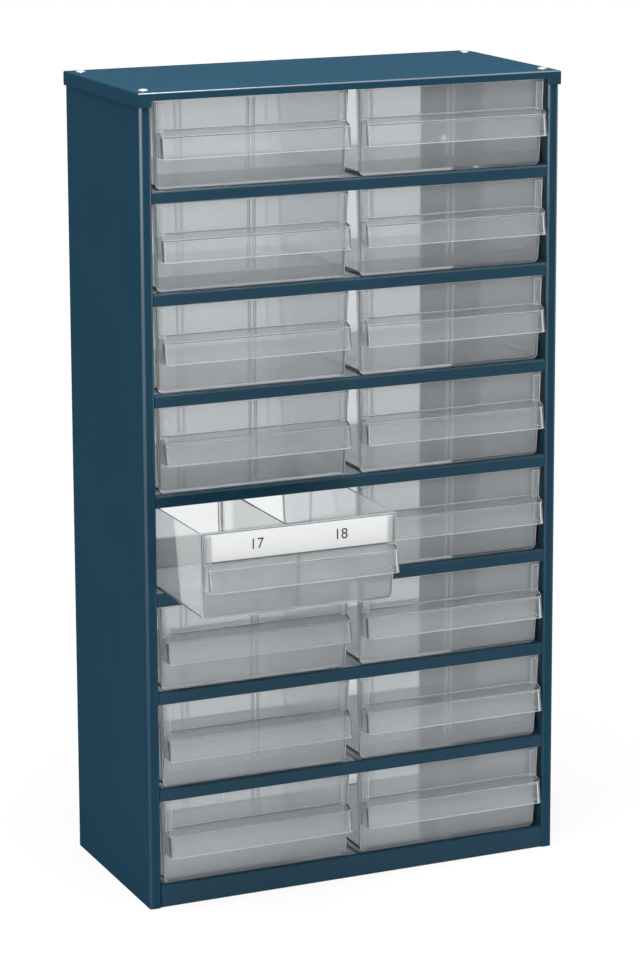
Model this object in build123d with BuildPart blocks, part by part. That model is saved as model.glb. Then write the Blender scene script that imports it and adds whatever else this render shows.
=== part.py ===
from build123d import *
from math import radians, tan
import os

# Parts bin cabinet: a folded sheet-steel carcass that holds eight rows of two clear moulded drawers.
# Millimetres. +X is to the right seen from the front, +Y to the back, +Z up.
# The origin is the middle of the base's underside. The drawer in row five on the left stands
# pulled out, the others are closed.

# Carcass: driving dimensions
cabinet_width = 306.0        # over the lid
cabinet_height = 552.0       # to the top of the lid
body_depth = 141.0           # stile face to the back of the rear flanges
sheet = 0.8                  # steel sheet
bend = 1.6                   # outside radius of a folded edge
lid_play = 0.2               # air between the lid's lips and the panels
lid_lip = 9.5                # height of the lid's turned-down lips
lid_front_lip = 5.0          # the same over the drawers
lid_bend = 1.0               # tight folds, so that the lid's inside seats over the panels
stile_width = 8.0            # front face of a side panel
stile_return = 8.0           # the stile's folded-back inner edge
rear_flange = 37.0           # the panels' flanges round the open back
top_flange = 16.0            # the panels' flanges that the lid is riveted to
base_height = 15.5           # front rail, up to the lowest shelf's top
base_side_lip = 6.0
row_pitch = 67.5
rows = 8
shelf_lip = 8.5              # at the front and the ends
shelf_rear_lip = 14.0        # over the open back

# Rivets and wall holes
rivet_spacing = (290.0, 118.0)
rivet_hole_radius = 1.7
rivet_shank_radius = 1.6
rivet_head_radius = 3.3
rivet_head_height = 1.3
rivet_head_taper = 20.0      # degrees
rivet_grip = 3.2             # lid's top to the rivet's lower end
wall_hole_radius = 2.5
wall_hole_x = 133.0          # from the middle plane
wall_hole_low = 60.0
wall_hole_high = 490.0

# Drawers: driving dimensions, in the frame of a drawer: front wall's top edge at Y = 0, underside at Z = 0
drawer_width = 138.5         # at the top
drawer_height = 58.2
drawer_depth = 135.8         # at the top, without the handle
draft = 2.2                  # taper on every side wall, degrees
wall = 1.6
floor_radius = 3.5           # along both sides of the floor
drawer_x = 72.75             # middle of a drawer, from the middle plane
drawer_recess = 3.0          # front wall's top edge behind the stile face
drawer_lift = 0.1            # air under a closed drawer
pulled_out = 75.0            # travel of the open drawer as it stands
open_row = 5                 # counted from the top, on the left

# Handle: a hood under the label zone
hood_width = 134.0
label_zone = 19.5            # from the drawer's top edge down to the hood
ledge_out = 10.3             # front of the hood's ledge, ahead of the front wall's top edge
ledge_drop = 3.0
skirt_out = 12.4             # lower edge of the skirt, ahead of the same edge
skirt_bottom = 21.0          # above the drawer's underside
hood_corner_radius = 3.5

# Ribs that hold a divider, label retainers, divider and label card
rib_width = 1.2
rib_spacing = 4.0
rib_depth = 1.8
rib_top_gap = 1.5            # below the drawer's top edge
retainer_cover = 4.5         # how far a retainer covers the card's end
retainer_thickness = 0.8
card_slot = 1.1              # behind a retainer
card_width = 132.0
card_height = 18.0
card_thickness = 0.4
divider_thickness = 1.8
divider_height = 52.5
divider_play = 0.4
divider_chamfer = 3.0

# Values that follow
body_half_width = cabinet_width / 2 - sheet - lid_play
panel_height = cabinet_height - sheet
front = -body_depth / 2
back = body_depth / 2
inner_half_width = body_half_width - sheet
stile_inner = body_half_width - stile_width
flange_inner = body_half_width - rear_flange
return_end = front + stile_return
flange_reach = back - stile_return
fit = 0.1                    # air between the cut ends of the folded sheets
hood_top = drawer_height - label_zone
ledge_fall = ledge_drop * wall / ledge_out
parts_folder = "parts"


def folded_sheet(plane, points, rounded=True):
    """Section of a folded sheet whose outer face follows the points; the sheet lies on their right."""
    with BuildSketch(plane) as section:
        with BuildLine():
            if rounded:
                FilletPolyline(*points, radius=bend)
            else:
                Polyline(*points)
            offset(amount=sheet, side=Side.RIGHT, kind=Kind.ARC if rounded else Kind.INTERSECTION)
        make_face()
    return section.sketch


def wall_inset(height):
    """How far the draft has moved a drawer's outer wall in at a height above its underside."""
    return (drawer_height - height) * tan(radians(draft))


def save(piece, name):
    """Label a finished piece and write its file."""
    piece.label = name
    export_step(piece, os.path.join(parts_folder, name + ".step"))


os.makedirs(parts_folder, exist_ok=True)

# Side panel: stile, side and rear flange folded from one sheet, with a top flange for the lid's rivets.
with BuildPart() as left_panel:
    plan = folded_sheet(
        Plane.XY,
        [
            (-stile_inner, return_end),
            (-stile_inner, front),
            (-body_half_width, front),
            (-body_half_width, back),
            (-flange_inner, back),
        ],
    )
    extrude(plan, amount=panel_height)
    with BuildSketch(Plane.XY.offset(panel_height)):
        with Locations((-inner_half_width, 0)):
            Rectangle(top_flange, 2 * flange_reach, align=(Align.MIN, Align.CENTER))
    extrude(amount=-sheet)
    with BuildSketch(Plane.XY.offset(panel_height)):
        with Locations((-rivet_spacing[0] / 2, 0)):
            with GridLocations(1, rivet_spacing[1], 1, 2):
                Circle(rivet_hole_radius)
    extrude(amount=-sheet, mode=Mode.SUBTRACT)
    with BuildSketch(Plane.XZ.offset(-back)):
        with Locations((-wall_hole_x, wall_hole_low), (-wall_hole_x, wall_hole_high)):
            Circle(wall_hole_radius)
    extrude(amount=sheet, mode=Mode.SUBTRACT)
save(left_panel.part, "left_side_panel")

with BuildPart() as right_panel:
    mirror(left_panel.part, about=Plane.YZ)
save(right_panel.part, "right_side_panel")

# Base: a flat tray that stands on the floor, with its front and rear rails turned up.
with BuildPart() as base_pan:
    rails = folded_sheet(
        Plane.YZ,
        [(back, base_height), (back, 0), (front, 0), (front, base_height)],
    )
    extrude(rails, amount=flange_inner - fit, both=True)
    front_rail = folded_sheet(
        Plane.YZ,
        [(return_end - fit, 0), (front, 0), (front, base_height)],
    )
    extrude(front_rail, amount=stile_inner - fit, both=True)
    floor = folded_sheet(
        Plane.XZ.offset(-back + 2 * sheet),
        [
            (inner_half_width, base_side_lip),
            (inner_half_width, 0),
            (-inner_half_width, 0),
            (-inner_half_width, base_side_lip),
        ],
        rounded=False,
    )
    extrude(floor, amount=back - 2 * sheet - return_end - fit)
save(base_pan.part, "base_pan")

# Shelf: its front lip shows between the stiles; the other three lips stiffen it and carry it.
with BuildPart() as shelf:
    front_fold = folded_sheet(
        Plane.YZ,
        [(front + sheet, -shelf_lip), (front + sheet, 0), (return_end + bend, 0)],
    )
    extrude(front_fold, amount=stile_inner - fit, both=True)
    rear_fold = folded_sheet(
        Plane.YZ,
        [(0, 0), (back - sheet, 0), (back - sheet, -shelf_rear_lip)],
        rounded=False,
    )
    extrude(rear_fold, amount=inner_half_width - 2 * bend, both=True)
    deck = folded_sheet(
        Plane.XZ.offset(-back + 2 * sheet),
        [
            (-inner_half_width, -shelf_lip),
            (-inner_half_width, 0),
            (inner_half_width, 0),
            (inner_half_width, -shelf_lip),
        ],
        rounded=False,
    )
    extrude(deck, amount=back - 2 * sheet - return_end - fit)

for row in range(rows):
    shelf_top = base_height + row_pitch * (rows - 1 - row)
    save(shelf.part.moved(Location((0, 0, shelf_top))), f"shelf_{row + 1}")

# Lid: a shallow tray turned over the panels; its front lip is cut back over the drawers.
with BuildPart() as lid:
    with BuildSketch(Plane.XY.offset(cabinet_height)):
        Rectangle(cabinet_width, body_depth + 2 * (sheet + lid_play))
    extrude(amount=-lid_lip)
    fillet(lid.faces().sort_by(Axis.Z)[-1].edges(), lid_bend)
    offset(amount=-sheet, openings=lid.faces().sort_by(Axis.Z)[0])
    with BuildSketch(Plane.XZ.offset(back)):
        with Locations((0, cabinet_height - lid_front_lip)):
            Rectangle(2 * stile_inner, lid_lip, align=(Align.CENTER, Align.MAX))
    extrude(amount=2 * (sheet + lid_play), mode=Mode.SUBTRACT)
    with BuildSketch(Plane.XY.offset(cabinet_height)):
        with GridLocations(*rivet_spacing, 2, 2):
            Circle(rivet_hole_radius)
    extrude(amount=-sheet, mode=Mode.SUBTRACT)
save(lid.part, "lid")

# Rivet: low tapered head on the lid, shank through lid and flange.
with BuildPart() as rivet:
    with BuildSketch():
        Circle(rivet_head_radius)
    extrude(amount=rivet_head_height, taper=rivet_head_taper)
    with BuildSketch():
        Circle(rivet_shank_radius)
    extrude(amount=-rivet_grip)
with BuildPart() as lid_rivets:
    with GridLocations(*rivet_spacing, 2, 2):
        add(rivet.part.moved(Location((0, 0, cabinet_height))))
save(lid_rivets.part, "lid_rivets")

# Drawer: a drafted tub, open at the top. Block and hollow have the same draft.
def drafted_block(low, high, shrink):
    """Solid with the drawer's draft between two heights, its walls moved in by shrink."""
    low_inset = shrink + wall_inset(low)
    high_inset = shrink + wall_inset(high)
    with BuildPart() as block:
        for plane, start, end in (
            (Plane.XZ, -drawer_width / 2, drawer_width / 2),
            (Plane.YZ, 0, drawer_depth),
        ):
            with BuildSketch(plane):
                with BuildLine():
                    Polyline(
                        (start + low_inset, low),
                        (end - low_inset, low),
                        (end - high_inset, high),
                        (start + high_inset, high),
                        close=True,
                    )
                make_face()
            extrude(amount=drawer_depth, both=True, mode=Mode.INTERSECT if block.solids() else Mode.ADD)
        floor_edges = block.faces().sort_by(Axis.Z)[0].edges().filter_by(Axis.Y)
        fillet(floor_edges, floor_radius - shrink)
    return block.part


# Hood handle: ledge, skirt and two end cheeks; open below for the fingers and behind, where the wall closes it.
with BuildPart() as hood:
    with BuildSketch(Plane.YZ):
        with BuildLine():
            Polyline(
                (wall, hood_top + ledge_fall),
                (-ledge_out, hood_top - ledge_drop),
                (-skirt_out, skirt_bottom),
                (wall, skirt_bottom),
                close=True,
            )
        make_face()
    extrude(amount=hood_width / 2, both=True)
    skirt = hood.faces().sort_by(Axis.Y)[0]
    fillet(skirt.edges().group_by(Axis.X)[0] + skirt.edges().group_by(Axis.X)[-1], hood_corner_radius)
    offset(amount=-wall, openings=[hood.faces().sort_by(Axis.Z)[0], hood.faces().sort_by(Axis.Y)[-1]])

# Divider ribs: two upright ribs inside the front wall, following its draft, with a slot between them.
with BuildPart() as front_ribs:
    for side in (-1, 1):
        with BuildSketch(Plane.YZ.offset(side * rib_spacing / 2)):
            with BuildLine():
                Polyline(
                    (wall_inset(drawer_height - rib_top_gap) + wall / 2, drawer_height - rib_top_gap),
                    (wall_inset(drawer_height - rib_top_gap) + wall + rib_depth, drawer_height - rib_top_gap),
                    (wall_inset(wall / 2) + wall + rib_depth, wall / 2),
                    (wall_inset(wall / 2) + wall / 2, wall / 2),
                    close=True,
                )
            make_face()
        extrude(amount=rib_width / 2, both=True)

# Label retainers: an upright lip at each end of the label zone that the card slides behind.
with BuildPart() as retainers:
    with BuildSketch(Plane.XY.offset(hood_top - ledge_drop / 3)):
        for side in (-1, 1):
            with Locations((side * hood_width / 2, -card_slot)):
                Rectangle(2 * retainer_cover, retainer_thickness, align=(Align.CENTER, Align.MAX))
            with Locations((side * hood_width / 2, wall / 2)):
                Rectangle(
                    retainer_thickness, card_slot + wall / 2 + retainer_thickness, align=(Align.CENTER, Align.MAX)
                )
        Rectangle(hood_width + retainer_thickness, 8 * card_slot, mode=Mode.INTERSECT)
    extrude(amount=label_zone + ledge_drop / 3 - rib_top_gap)

with BuildPart() as drawer:
    add(drafted_block(0, drawer_height, 0))
    add(drafted_block(wall, drawer_height + wall, wall), mode=Mode.SUBTRACT)
    add(hood.part)
    add(front_ribs.part)
    mirror(front_ribs.part, about=Plane.XZ.offset(-drawer_depth / 2))
    add(retainers.part)


def drawer_place(row, side):
    """Where a drawer stands: row counted from the top, side -1 on the left and 1 on the right."""
    height = base_height + row_pitch * (rows - 1 - row) + drawer_lift
    travel = pulled_out if (row == open_row - 1 and side < 0) else 0
    return Location((side * drawer_x, front + drawer_recess - travel, height))


for row in range(rows):
    for side, side_name in ((-1, "left"), (1, "right")):
        save(drawer.part.moved(drawer_place(row, side)), f"drawer_{row + 1}_{side_name}")

# Divider of the open drawer: a plate between the rib pairs, cut to the tub's draft.
with BuildPart() as divider:
    with BuildSketch(Plane.YZ):
        with BuildLine():
            top_start = wall_inset(divider_height) + wall + divider_play
            foot_start = wall_inset(wall) + wall + divider_play
            Polyline(
                (top_start, divider_height),
                (drawer_depth - top_start, divider_height),
                (drawer_depth - foot_start, wall),
                (foot_start, wall),
                close=True,
            )
        make_face()
    extrude(amount=divider_thickness / 2, both=True)
    foot = divider.faces().sort_by(Axis.Z)[0]
    chamfer(foot.edges().filter_by(Axis.X), divider_chamfer)
save(divider.part.moved(drawer_place(open_row - 1, -1)), "divider")

# Label card of the open drawer, standing on the hood's ledge behind the retainers.
with BuildPart() as label_card:
    with BuildSketch(Plane.XY.offset(hood_top + ledge_fall)):
        with Locations((0, -card_slot / 2)):
            Rectangle(card_width, card_thickness)
    extrude(amount=card_height)
save(label_card.part.moved(drawer_place(open_row - 1, -1)), "label_card")
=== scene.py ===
# %% [markdown]
# # A steel cabinet of clear drawers
# The object is a folded steel cabinet with sixteen small moulded drawers. Its shapes come finished
# from the drawing model: every sheet, drawer, divider and card is a node of it. What is left for
# Blender is how things look. Enamel, polished plastic, bright rivets and card need finishes, the
# rivets need their real heads, and the card needs its printed numbers.

# %% Load the cabinet
from math import cos, pi, radians, sin

import bmesh
import bpy
from mathutils import Euler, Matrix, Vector


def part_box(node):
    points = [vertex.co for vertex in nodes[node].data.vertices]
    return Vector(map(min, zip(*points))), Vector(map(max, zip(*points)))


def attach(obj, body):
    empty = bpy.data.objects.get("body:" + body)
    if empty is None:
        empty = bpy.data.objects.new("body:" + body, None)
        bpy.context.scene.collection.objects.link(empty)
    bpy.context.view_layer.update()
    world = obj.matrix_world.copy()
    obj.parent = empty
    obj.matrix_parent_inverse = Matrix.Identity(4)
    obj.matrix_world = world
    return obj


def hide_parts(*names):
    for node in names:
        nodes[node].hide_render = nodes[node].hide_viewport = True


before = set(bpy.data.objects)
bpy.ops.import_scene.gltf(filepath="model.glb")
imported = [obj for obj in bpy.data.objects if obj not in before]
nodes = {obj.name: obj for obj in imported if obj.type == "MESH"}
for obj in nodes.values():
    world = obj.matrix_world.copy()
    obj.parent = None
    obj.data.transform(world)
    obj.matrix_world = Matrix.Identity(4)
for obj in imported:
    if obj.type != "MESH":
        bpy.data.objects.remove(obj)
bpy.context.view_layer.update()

drawers = sorted(name for name in nodes if name.startswith("drawer_"))
print(len(nodes), "nodes,", len(drawers), "of them drawers")

# %% [markdown]
# ## The camera
# A long lens far away keeps the cabinet's upright edges nearly parallel. The lens could also be
# shifted until they are exactly parallel, as in a catalogue studio, but a strongly shifted camera
# shows every other view off centre. So most of the view is turned down, and only a little shifted.

# %% Place the camera
mm = 0.001
frame_height_px = 971
sensor_width = 36.0
focal_length_px = 3294.0
camera_place = Vector((-898.5, -2037.5, 805.5)) * mm
camera_turn = radians(23.96)       # to the right of straight ahead
camera_dip = radians(11.17)        # below the horizon
camera_roll = radians(0.19)
camera_shift = -0.15

camera = bpy.data.objects.new("camera", bpy.data.cameras.new("camera"))
camera.data.sensor_width = sensor_width
camera.data.lens = focal_length_px / frame_height_px * sensor_width
camera.data.shift_y = camera_shift
camera.location = camera_place
camera.rotation_euler = Euler((pi / 2 - camera_dip, camera_roll, -camera_turn))
bpy.context.scene.collection.objects.link(camera)
bpy.context.scene.camera = camera
bpy.context.scene.view_settings.view_transform = "Standard"
print(f"lens {camera.data.lens:.1f} mm")

# %% [markdown]
# ## Writing node trees as sums
# A finish is a small network of nodes, and most of them only add, multiply or compare. They could
# be added and wired up one by one, but then the idea behind a finish is hard to see. If the wire
# between two nodes is a Python object with its own +, * and <, a network can be written as a
# formula instead.

# %% Wires
class Wire:
    """The output of a node, which Python's arithmetic works on."""

    def __init__(self, tree, socket):
        self.tree = tree
        self.socket = socket

    def work(self, operation, first, second=0.0):
        return self.tree.node("ShaderNodeMath", {"operation": operation}, {0: first, 1: second})

    def __add__(self, other):
        return self.work("ADD", self, other)

    def __sub__(self, other):
        return self.work("SUBTRACT", self, other)

    def __rsub__(self, other):
        return self.work("SUBTRACT", other, self)

    def __mul__(self, other):
        return self.work("MULTIPLY", self, other)

    def __mod__(self, other):
        return self.work("FLOORED_MODULO", self, other)

    def __gt__(self, other):
        return self.work("GREATER_THAN", self, other)

    def __lt__(self, other):
        return self.work("LESS_THAN", self, other)

    def __abs__(self):
        return self.work("ABSOLUTE", self)

    __radd__ = __add__
    __rmul__ = __mul__


print("a wire can be added, subtracted, multiplied, wrapped round and compared")

# %% [markdown]
# ## One method for every node
# A node has settings, such as a Math node's operation, and sockets, which take a value or a wire.
# The settings come first, because they can change which sockets the node has. With one method
# that keeps to this order, every other helper stays a line or two long.

# %% Finishes
class Finish:
    """The node tree of a material or of the world, emptied and built up again."""

    def __init__(self, owner):
        owner.use_nodes = True
        self.owner = owner
        self.nodes = owner.node_tree.nodes
        self.links = owner.node_tree.links
        self.nodes.clear()

    def node(self, kind, settings=None, sockets=None, output=0):
        """Adds a node, with its settings first and then the values or wires of its sockets."""
        made = self.nodes.new(kind)
        for name, value in (settings or {}).items():
            setattr(made, name, value)
        for key, value in (sockets or {}).items():
            if isinstance(value, Wire):
                self.links.new(value.socket, made.inputs[key])
            else:
                made.inputs[key].default_value = value
        return Wire(self, made.outputs[output]) if made.outputs else made

    def noise(self, grain, detail=2.0):
        """Cloudy noise from 0 to 1 over the object, with grains of that size in metres."""
        place = self.node("ShaderNodeTexCoord", output="Object")
        sockets = {"Vector": place, "Scale": 1 / grain, "Detail": detail}
        return self.node("ShaderNodeTexNoise", {}, sockets, output="Fac")

    def mix(self, factor, low, high):
        """Colour between low and high."""
        sockets = {0: factor, 6: low, 7: high}
        return self.node("ShaderNodeMix", {"data_type": "RGBA"}, sockets, output=2)

    def bump(self, height, distance):
        """Normals of a surface that rises by distance, in metres, where height is 1."""
        return self.node("ShaderNodeBump", {}, {"Height": height, "Distance": distance})

    def surface(self, **sockets):
        """Principled shader: socket names are written with underscores for spaces."""
        named = {name.replace("_", " "): value for name, value in sockets.items()}
        return self.node("ShaderNodeBsdfPrincipled", {}, named)

    def blend(self, share, first, second):
        """Shader that takes its share of the second one and the rest of the first."""
        return self.node("ShaderNodeMixShader", {}, {0: share, 1: first, 2: second})

    def show(self, shader, kind="ShaderNodeOutputMaterial"):
        self.node(kind, {}, {"Surface": shader})
        return self.owner


def new_finish(name):
    return Finish(bpy.data.materials.new(name))


def dress(material, *names):
    """Gives CAD nodes a material."""
    for name in names:
        nodes[name].data.materials.clear()
        nodes[name].data.materials.append(material)
    print(material.name, "on", len(names), "nodes")


print("finishes can be mixed for", len(nodes), "nodes")

# %% [markdown]
# ## Where a point lies
# The folded sheets and the moulded drawers are single pieces, so a fold or a front wall has no
# material of its own. It could be painted into an image, but an image is never sharp close by. A
# finish can instead ask for the place of the point that it shades, in the cabinet's coordinates,
# and turn it into a mask: 1 where a coat or a tint belongs, and 0 everywhere else.

# %% Masks from coordinates
body_half_width = 152.0 * mm
body_front = -70.5 * mm
body_back = 70.5 * mm
lid_top = 552.0 * mm
first_deck = 15.5 * mm
row_pitch = 67.5 * mm
rows = 8
far = 1.0                          # metres, past everything in the cabinet


def axes(finish):
    """The surface's place in the cabinet: across, to the back and up."""
    place = finish.node("ShaderNodeTexCoord", output="Object")
    return [finish.node("ShaderNodeSeparateXYZ", {}, {"Vector": place}, output=name) for name in "XYZ"]


def along(value, low, high):
    """1 where a value lies between two limits, otherwise 0."""
    return (value > low) * (value < high)


def in_row(up):
    """Height above the deck of the row that a point lies in."""
    return (up - first_deck) % row_pitch


print("decks at", [round((first_deck + row * row_pitch) / mm, 1) for row in range(rows)], "mm")

# %% [markdown]
# ## Stove enamel
# The carcass is dark blue stove enamel, sprayed and baked. It is not a mirror: the paint draws
# together into a very fine orange skin, which widens each reflection. A flat blue with a rough
# gloss would look like card, so the colour drifts a little from cloud to cloud, the gloss varies
# with it, and a bump of a few thousandths of a millimetre breaks up the highlights. The shine
# itself is a clear coat, whose weight each kind of sheet works out from the place.

# %% Enamel
enamel_dark = (0.0100, 0.0425, 0.0710, 1)
enamel_light = (0.0120, 0.0480, 0.0790, 1)
enamel_clouds = 60 * mm
enamel_skin = 1.6 * mm
skin_depth = 0.004 * mm
thin_coat = 0.015


def stove_enamel(name, gloss, coat_ior):
    """Blue enamel whose clear coat is the share that gloss works out from the place, painted highlights
    and reflections included.
    """
    finish = new_finish(name)
    return finish.show(finish.surface(
        Base_Color=finish.mix(finish.noise(enamel_clouds), enamel_dark, enamel_light),
        Roughness=0.36 + 0.08 * finish.noise(25 * mm),
        Specular_IOR_Level=0.0,
        # The coat weight includes painted highlights and painted reflections.
        Coat_Weight=thin_coat + gloss(*axes(finish)),
        Coat_Roughness=0.12,
        Coat_IOR=coat_ior,
        Normal=finish.bump(finish.noise(enamel_skin), skin_depth),
    ))


print("enamel between", enamel_dark[:3], "and", enamel_light[:3])

# %% [markdown]
# ## Gloss, painted highlights and painted reflections
# A folded edge is where enamel catches the light. The upright folds show as bright lines at the top that
# fade towards the floor, so their coat grows with height: a painted highlight for where the lamps reach.
# The coat on the insides and the strong one on the decks are painted reflections of the white background,
# which make the steel look light through the drawers. More lamps could draw these lines as well, but they
# would also lighten the flat sides.

# %% Gloss
fold = 1.6 * mm
stile_width = 8.0 * mm
# Where the painted reflection of the decks ends, before the back.
flange_air = 2.0 * mm              # the mirror of the decks ends this far before the back
paint_film = 0.1 * mm


def painted_highlight_rising(up, low, gain):
    """Weight of a painted highlight: low at the floor, grown by gain at the lid."""
    return low + gain / lid_top ** 2 * up * up


def panel_painted_sheen(across, back, up):
    side = abs(across)
    inside = along(side, 0, body_half_width - mm / 2) * along(back, body_front + 2 * fold, body_back - mm)
    face = along(back, -far, body_front + fold)
    outer_fold = face * along(side, body_half_width - fold, far)
    inner_fold = face * along(side, 0, body_half_width - stile_width + fold)
    # Painted reflection on the insides; painted highlights on the folds, growing with height.
    return 0.2 * inside + outer_fold * painted_highlight_rising(up, 0.1, 0.75) + inner_fold * painted_highlight_rising(up, 0.05, 0.6)


def shelf_gloss_and_painted_sheen(across, back, up):
    deck = along(back, body_front + 3 * mm, body_back - flange_air)
    front_fold = along(back, -far, body_front + 2 * fold) * along(in_row(up), row_pitch - fold, row_pitch)
    # Strong coat on the decks: painted reflection of the white background. Front folds: painted highlight
    # growing with height.
    return 0.03 + 0.87 * deck + front_fold * up * up


def lid_gloss_and_painted_highlight(across, back, up):
    front_fold = along(back, -far, body_front) * along(up, lid_top - fold / 2, far)
    # Painted highlight along the lid's front fold; a thin real coat on the top.
    return 0.95 * front_fold + 0.025 * along(up, lid_top - paint_film, far)


shelves = [name for name in nodes if name.startswith("shelf")]
dress(stove_enamel("panel_enamel", panel_painted_sheen, 2.5), "left_side_panel", "right_side_panel")
dress(stove_enamel("shelf_enamel", shelf_gloss_and_painted_sheen, 3.0), "base_pan", *shelves)
dress(stove_enamel("lid_enamel", lid_gloss_and_painted_highlight, 3.2), "lid")

# %% [markdown]
# ## Tints of the clear plastic, and painted shade
# The drawers are injection moulded in clear polystyrene, which has a faint tint that adds up with every
# wall that light passes. The front wall is the smokiest and the side walls are lighter. The foot of the
# front looks darker still in the top rows and the lowest ones, and that darker foot is painted shade
# rather than a tint. One even tint could not show all of this, so it is mixed from masks.

# %% Tints
front_wall = 4.3 * mm              # how far back the drafted front wall reaches
front_play = 0.2 * mm
drawer_middle = 72.75 * mm
side_wall = 65.2 * mm              # from a drawer's middle
foot_height = 10.0 * mm
top_rows = 420.0 * mm
low_rows = 150.0 * mm
clear_tints = ((0.94, 0.955, 0.96, 1), (0.97, 0.98, 0.985, 1))
side_tint = (0.83, 0.85, 0.86, 1)
front_tint = (0.58, 0.605, 0.615, 1)
# Painted shade on the foot of the front walls.
foot_painted_shade = (0.34, 0.365, 0.375, 1)


def wall_tint(finish, place, in_front, streaks):
    """Colour of the walls: nearly clear, with a light tint on the sides, a smoky front, and painted shade
    on the front's foot.
    """
    across, _, up = place
    # Painted shade: the foot of the front wall in the top rows, and half as much in the lowest ones.
    foot = along(in_row(up), 0, foot_height) * (along(up, top_rows, far) + 0.5 * along(up, 0, low_rows))
    at_side = abs(abs(across) - drawer_middle) > side_wall
    walls = finish.mix(at_side, finish.mix(streaks, *clear_tints), side_tint)
    return finish.mix(in_front, walls, finish.mix(foot, front_tint, foot_painted_shade))


print("side walls begin", side_wall / mm, "mm from a drawer's middle")

# %% [markdown]
# ## Haze and light edges
# Old polystyrene scatters a little light: most in the front wall, which is handled, and a touch more from
# about a quarter metre down towards the floor. Moulded edges are slightly rounded, and a pale haze along
# them draws each rim and rib as a light line: partly their own scatter, partly a painted highlight for the
# light that gathers in clear edges. The Bevel node finds edges without changing the mesh: where its
# rounded normal turns away from the flat one, there is an edge. Cutting real roundings would cost
# thousands of faces on every drawer.

# %% Haze
front_haze = 0.24
other_haze = 0.03
low_extra_haze = 0.05
extra_haze_begins = 0.24                 # metres above the floor
extra_haze_is_full = 0.04
edge_radius = 0.8 * mm
edge_highlight_haze = 5.0


def haze_share(finish, up, in_front):
    """Share of grey haze at a point of a drawer, more towards the floor, and pale along the edges as a
    painted highlight.
    """
    # More haze from about a quarter metre down towards the floor.
    lower_haze = finish.node("ShaderNodeMapRange", {}, {
        "Value": up, "From Min": extra_haze_begins, "From Max": extra_haze_is_full, "To Max": low_extra_haze,
    })
    # Pale haze along the edges: partly scatter, partly painted highlight for light gathered in them.
    rounded = finish.node("ShaderNodeBevel", {"samples": 4}, {"Radius": edge_radius})
    flat = finish.node("ShaderNodeNewGeometry", output="True Normal")
    operation = {"operation": "DOT_PRODUCT"}
    alike = finish.node("ShaderNodeVectorMath", operation, {0: rounded, 1: flat}, output="Value")
    return other_haze + (front_haze - other_haze + lower_haze) * in_front + edge_highlight_haze * (1 - alike)


print("haze from", other_haze, "to", round(front_haze + low_extra_haze, 2), "before edges")

# %% [markdown]
# ## Clear moulded drawers
# Polystyrene bends light like glass, which draws every edge, rib and corner as a line, and its
# polished floors mirror the room behind the cabinet. It could be faked with a see-through colour,
# but that loses the lines. So it is real refraction, with the haze's share of it taken by a grey
# that keeps the steel behind it from looking black. The open drawer has a material of its own,
# because its front wall stands further out.

# %% Plastic on the drawers
closed_front = -67.5 * mm
pulled_out = 75.0 * mm
open_drawer = "drawer_5_left"
haze_tones = ((0.59, 0.64, 0.67, 1), (0.65, 0.70, 0.73, 1))


def clear_plastic(name, front):
    """Polystyrene of a drawer whose front wall's top edge stands at front."""
    finish = new_finish(name)
    streaks = finish.noise(18 * mm)
    place = axes(finish)
    in_front = along(place[1], front - front_play, front + front_wall)
    clear = finish.surface(
        Base_Color=wall_tint(finish, place, in_front, streaks),
        Roughness=0.03 + 0.04 * finish.noise(8 * mm),
        IOR=1.56,
        Transmission_Weight=1.0,
    )
    haze = finish.surface(Base_Color=finish.mix(streaks, *haze_tones), Roughness=0.5)
    return finish.show(finish.blend(haze_share(finish, place[2], in_front), clear, haze))


closed_drawers = [name for name in drawers if name != open_drawer]
dress(clear_plastic("clear_polystyrene", closed_front), *closed_drawers)
dress(clear_plastic("clear_polystyrene_open", closed_front - pulled_out), open_drawer, "divider")

# %% [markdown]
# ## Card and ink
# The open drawer shows a white label card behind its two retainers. Card is made of fibres, which
# give it a faint mottle and no gloss. Ink is nearly black and a little uneven.

# %% The label card
def label_stock():
    finish = new_finish("label_card_stock")
    mottle = finish.noise(1.2 * mm, 4.0)
    colour = finish.mix(mottle, (0.70, 0.72, 0.71, 1), (0.76, 0.77, 0.76, 1))
    return finish.show(finish.surface(
        Base_Color=colour, Roughness=0.85, Normal=finish.bump(mottle, 0.02 * mm)
    ))


def printing_ink():
    finish = new_finish("printing_ink")
    colour = finish.mix(finish.noise(0.8 * mm), (0.012, 0.012, 0.014, 1), (0.03, 0.03, 0.032, 1))
    return finish.show(finish.surface(Base_Color=colour, Roughness=0.6))


dress(label_stock(), "label_card")
ink = printing_ink()

# %% [markdown]
# ## Numbers on the card
# Print on card has no thickness to speak of. It could be part of the card's material, but then it
# would need an image or a formula for every figure. So the numbers are set with Blender's own
# typeface, turned into flat meshes and laid on the card, just in front of it. They are generic.

# %% The numbers
card_low, card_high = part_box("label_card")
numeral_height = 7.0 * mm
figure_share = 0.7                 # of the type size that a figure takes up
numeral_lift = 0.05 * mm


def numeral(text, share):
    """Number printed on the card, at that share of its width."""
    curve = bpy.data.curves.new("number_" + text, "FONT")
    curve.body = text
    curve.size = numeral_height / figure_share
    curve.align_x = "CENTER"
    curve.align_y = "CENTER"
    shape = bpy.data.objects.new(curve.name, curve)
    mesh = bpy.data.meshes.new_from_object(shape)
    bpy.data.objects.remove(shape)
    piece = bpy.data.objects.new("number_" + text, mesh)
    bpy.context.scene.collection.objects.link(piece)
    piece.rotation_euler = Euler((pi / 2, 0, 0))
    piece.location = (
        card_low.x + share * (card_high.x - card_low.x),
        card_low.y - numeral_lift,
        (card_low.z + card_high.z) / 2,
    )
    piece.data.materials.clear()
    piece.data.materials.append(ink)
    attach(piece, open_drawer)
    return piece


for text, share in (("17", 0.27), ("18", 0.72)):
    print(numeral(text, share).name, "printed")

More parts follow.
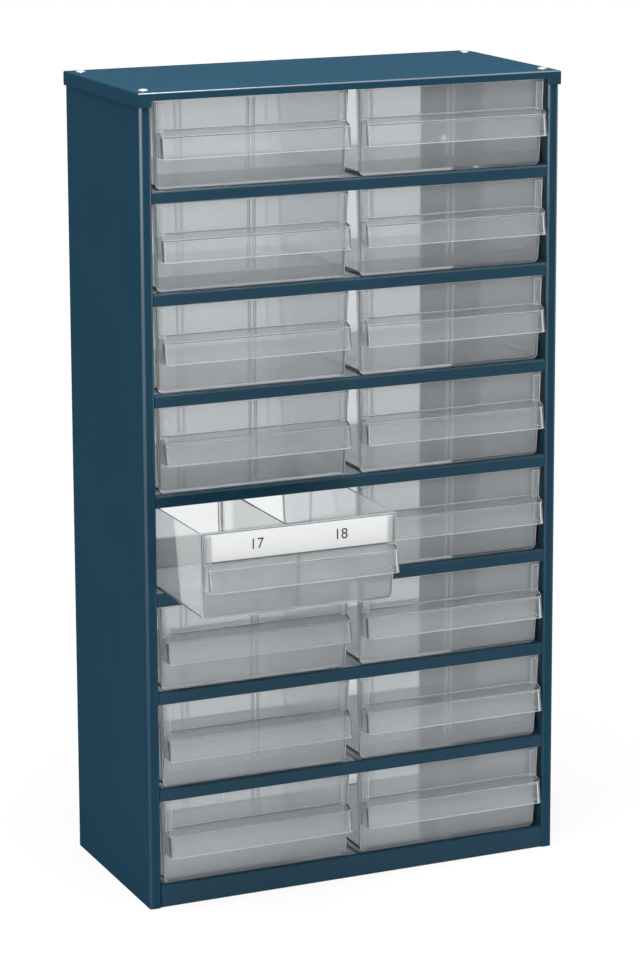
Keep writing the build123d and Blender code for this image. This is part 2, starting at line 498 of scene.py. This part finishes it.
# %% [markdown]
# ## Rivets
# Four rivets close the lid. Each has a low domed head with a small round dimple where the
# mandrel broke off. The drawing model has plain tapered heads, so a finer mesh takes their place.
# A head could be cut from a sphere, but a profile spun round the rivet's axis gives the dome, the
# dimple and the shank in one piece.

# %% Rivet profile
head_radius = 3.3 * mm
head_height = 1.3 * mm
dimple_radius = 1.2 * mm
dimple_floor = 0.8                 # the dimple's floor, as a share of its mouth
dimple_depth = 0.7 * mm
shank_radius = 1.6 * mm
shank_length = 3.2 * mm
dome_steps = 8


def rivet_profile():
    """Radius and height of the profile's points, from the dimple's middle round to the shank's end."""
    floor_height = head_height - dimple_depth
    points = [(0, floor_height), (dimple_radius * dimple_floor, floor_height)]
    for step in range(dome_steps + 1):
        turn = pi / 2 * step / dome_steps
        radius = dimple_radius + (head_radius - dimple_radius) * sin(turn)
        points.append((radius, head_height * cos(turn)))
    return points + [(shank_radius, 0), (shank_radius, -shank_length), (0, -shank_length)]


print("a rivet's profile has", len(rivet_profile()), "points")

# %% Rivet heads
spin_steps = 32
weld_distance = 0.01 * mm
low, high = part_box("lid_rivets")
shape = bmesh.new()
for x in (low.x + head_radius, high.x - head_radius):
    for y in (low.y + head_radius, high.y - head_radius):
        centre = Vector((x, y, lid_top))
        profile = [shape.verts.new(centre + Vector((radius, 0, rise))) for radius, rise in rivet_profile()]
        edges = [shape.edges.new(pair) for pair in zip(profile, profile[1:])]
        bmesh.ops.spin(
            shape, geom=profile + edges, cent=centre, axis=(0, 0, 1), angle=2 * pi, steps=spin_steps
        )
bmesh.ops.remove_doubles(shape, verts=shape.verts, dist=weld_distance)
bmesh.ops.recalc_face_normals(shape, faces=shape.faces)
rivets = bpy.data.objects.new("rivet_heads", bpy.data.meshes.new("rivet_heads"))
shape.to_mesh(rivets.data)
bpy.context.scene.collection.objects.link(rivets)
rivets.data.shade_smooth()
print("rivet heads:", len(rivets.data.polygons), "faces")

# %% [markdown]
# ## Bare metal
# In the photograph the rivets are the only bare metal. One grey would look cast, but a rivet is
# set with a hammer or a gun, which leaves fine marks. So one fine noise drives both the colour and
# the roughness. The heads ride on the cabinet and stand in for the drawing model's rivets.

# %% Rivet metal
def bright_metal():
    finish = new_finish("bright_rivet_metal")
    marks = finish.noise(0.5 * mm)
    return finish.show(finish.surface(
        Base_Color=finish.mix(marks, (0.50, 0.52, 0.54, 1), (0.74, 0.75, 0.76, 1)),
        Metallic=1.0,
        Roughness=0.22 + 0.15 * marks,
    ))


rivets.data.materials.append(bright_metal())
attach(rivets, "cabinet")
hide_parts("lid_rivets")
print(rivets.name, "of", rivets.data.materials[0].name)

# %% [markdown]
# ## White all round
# Everything round the cabinet is white. A brighter lamp could bleach it, but would bleach the
# cabinet as well. So the world is white where the camera, a reflection or a see-through wall looks
# at it, and lights the object at a lower, plain level.

# %% World
ambient_light = 0.42


def paths_that_see(finish):
    """1 for camera, mirror and see-through rays, which show the white background."""
    rays = [finish.node("ShaderNodeLightPath", output=name)
            for name in ("Is Camera Ray", "Is Glossy Ray", "Is Transmission Ray")]
    return finish.node("ShaderNodeMath", {"operation": "ADD", "use_clamp": True}, {
        0: rays[0] + rays[1], 1: rays[2],
    })


def white_studio():
    finish = Finish(bpy.context.scene.world)
    strength = ambient_light + (1 - ambient_light) * paths_that_see(finish)
    sky = finish.node("ShaderNodeBackground", {}, {"Color": (1, 1, 1, 1), "Strength": strength})
    return finish.show(sky, "ShaderNodeOutputWorld")


if bpy.context.scene.world is None:
    bpy.context.scene.world = bpy.data.worlds.new("studio")
print(white_studio().name, "gives", ambient_light, "of ambient light")

# %% [markdown]
# ## The floor
# The cabinet stands on a pale floor, which carries its shadow. Seen by the camera, the floor is
# mostly white by itself near the cabinet, and wholly white further out, where it has to meet the
# background without an edge.

# %% Floor
floor_size = 6.0
floor_whiteness = 0.85
fade_begins = 0.25                 # metres from the middle
fade_ends = 0.7


def floor_paint():
    finish = new_finish("pale_floor")
    tone = finish.mix(finish.noise(0.4), (0.80, 0.80, 0.80, 1), (0.83, 0.83, 0.83, 1))
    paint = finish.node("ShaderNodeBsdfDiffuse", {}, {"Color": tone})
    white = finish.node("ShaderNodeEmission", {}, {"Color": (1, 1, 1, 1), "Strength": 1.0})
    across, back, _ = axes(finish)
    distance = finish.node("ShaderNodeMath", {"operation": "SQRT"}, {0: across * across + back * back})
    fade = finish.node("ShaderNodeMapRange", {"interpolation_type": "SMOOTHSTEP"}, {
        "Value": distance, "From Min": fade_begins, "From Max": fade_ends,
        "To Min": floor_whiteness, "To Max": 1.0,
    })
    return finish.show(finish.blend(fade * paths_that_see(finish), paint, white))


half = floor_size / 2
corners = [(-half, -half, 0), (half, -half, 0), (half, half, 0), (-half, half, 0)]
floor_mesh = bpy.data.meshes.new("floor")
floor_mesh.from_pydata(corners, [], [(0, 1, 2, 3)])
floor_mesh.materials.append(floor_paint())
floor = bpy.data.objects.new("floor", floor_mesh)
bpy.context.scene.collection.objects.link(floor)
print("floor of", floor_size, "m")

# %% [markdown]
# ## Lamps
# Two lamps shape the light. A large one hangs above and in front, so the lid is the lightest side,
# as in the photograph, and a tall narrow one on the left draws the bright line along each upright
# fold. Hard lamps would throw sharp shadows, which the photograph doesn't show. Light has to pass
# many walls of plastic before it reaches the camera, so its paths may be long.

# %% Light the cabinet
aim = Vector((0, 0, 0.28))


def softbox(name, place, width, height, power):
    """Area lamp at a place, turned to the middle of the cabinet."""
    lamp = bpy.data.objects.new(name, bpy.data.lights.new(name, "AREA"))
    lamp.data.shape = "RECTANGLE"
    lamp.data.size = width
    lamp.data.size_y = height
    lamp.data.energy = power
    lamp.location = place
    lamp.rotation_euler = (aim - lamp.location).to_track_quat("-Z", "Y").to_euler()
    bpy.context.scene.collection.objects.link(lamp)
    print(name, "of", power, "W")


softbox("overhead", Vector((-0.2, -0.5, 2.3)), 1.6, 1.4, 75)
softbox("left_strip", Vector((-2.0, -1.1, 0.9)), 0.25, 1.8, 11)
steps_of_light = 32
paths = bpy.context.scene.cycles
paths.max_bounces = steps_of_light
paths.transmission_bounces = steps_of_light
paths.glossy_bounces = steps_of_light // 2

# %% [markdown]
# ## Finish
# The view layer is brought up to date.

# %% Finish
bpy.context.view_layer.update()
